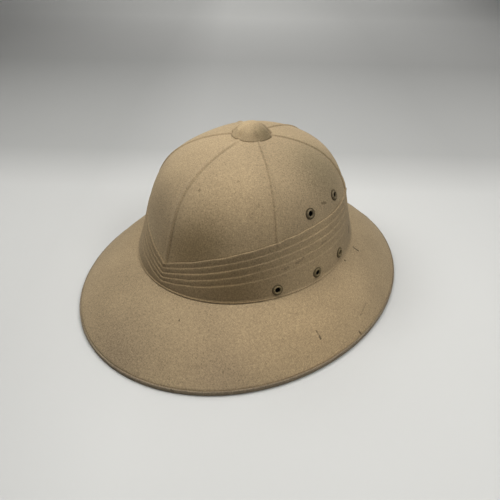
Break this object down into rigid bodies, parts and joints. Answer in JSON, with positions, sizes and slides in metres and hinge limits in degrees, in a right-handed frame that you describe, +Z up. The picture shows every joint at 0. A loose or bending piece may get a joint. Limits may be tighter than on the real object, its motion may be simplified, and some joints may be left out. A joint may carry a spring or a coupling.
{
  "type": "pith helmet",
  "caption": "Cloth-covered pith helmet with a domed, panelled crown, a folded band, a sloping bound brim, a lobed top button and vent eyelets.",
  "frame": {"origin": "on the floor, at the middle of the brim's outline", "axes": "+Z up through the crown; -Y to the front, where the folds of the band dip to a point; X across the helmet"},
  "size_m": [0.2748, 0.3299, 0.1456],
  "materials": {
    "shell_cloth": "matt tan cotton twill bonded to the shell",
    "band_cloth": "matt tan cotton twill in folds",
    "binding_cloth": "matt tan cloth tape, slightly soiled",
    "painted_eyelet": "dull olive-tan paint over metal, worn at the edges",
    "metal_eyelet": "dull aged brass with a bright rim",
    "post_metal": "plain dull metal"
  },
  "bodies": {
    "root": {"crown_and_brim": "shell_cloth", "folded_band": "band_cloth", "edge_binding": "binding_cloth", "top_button": "shell_cloth", "button_post": "post_metal", "eyelet_low_front_right": "painted_eyelet", "eyelet_low_middle_right": "painted_eyelet", "eyelet_low_rear_right": "painted_eyelet", "eyelet_high_front_right": "metal_eyelet", "eyelet_high_rear_right": "metal_eyelet", "eyelet_low_front_left": "painted_eyelet", "eyelet_low_middle_left": "painted_eyelet", "eyelet_low_rear_left": "painted_eyelet", "eyelet_high_front_left": "metal_eyelet", "eyelet_high_rear_left": "metal_eyelet"}
  },
  "joints": []
}
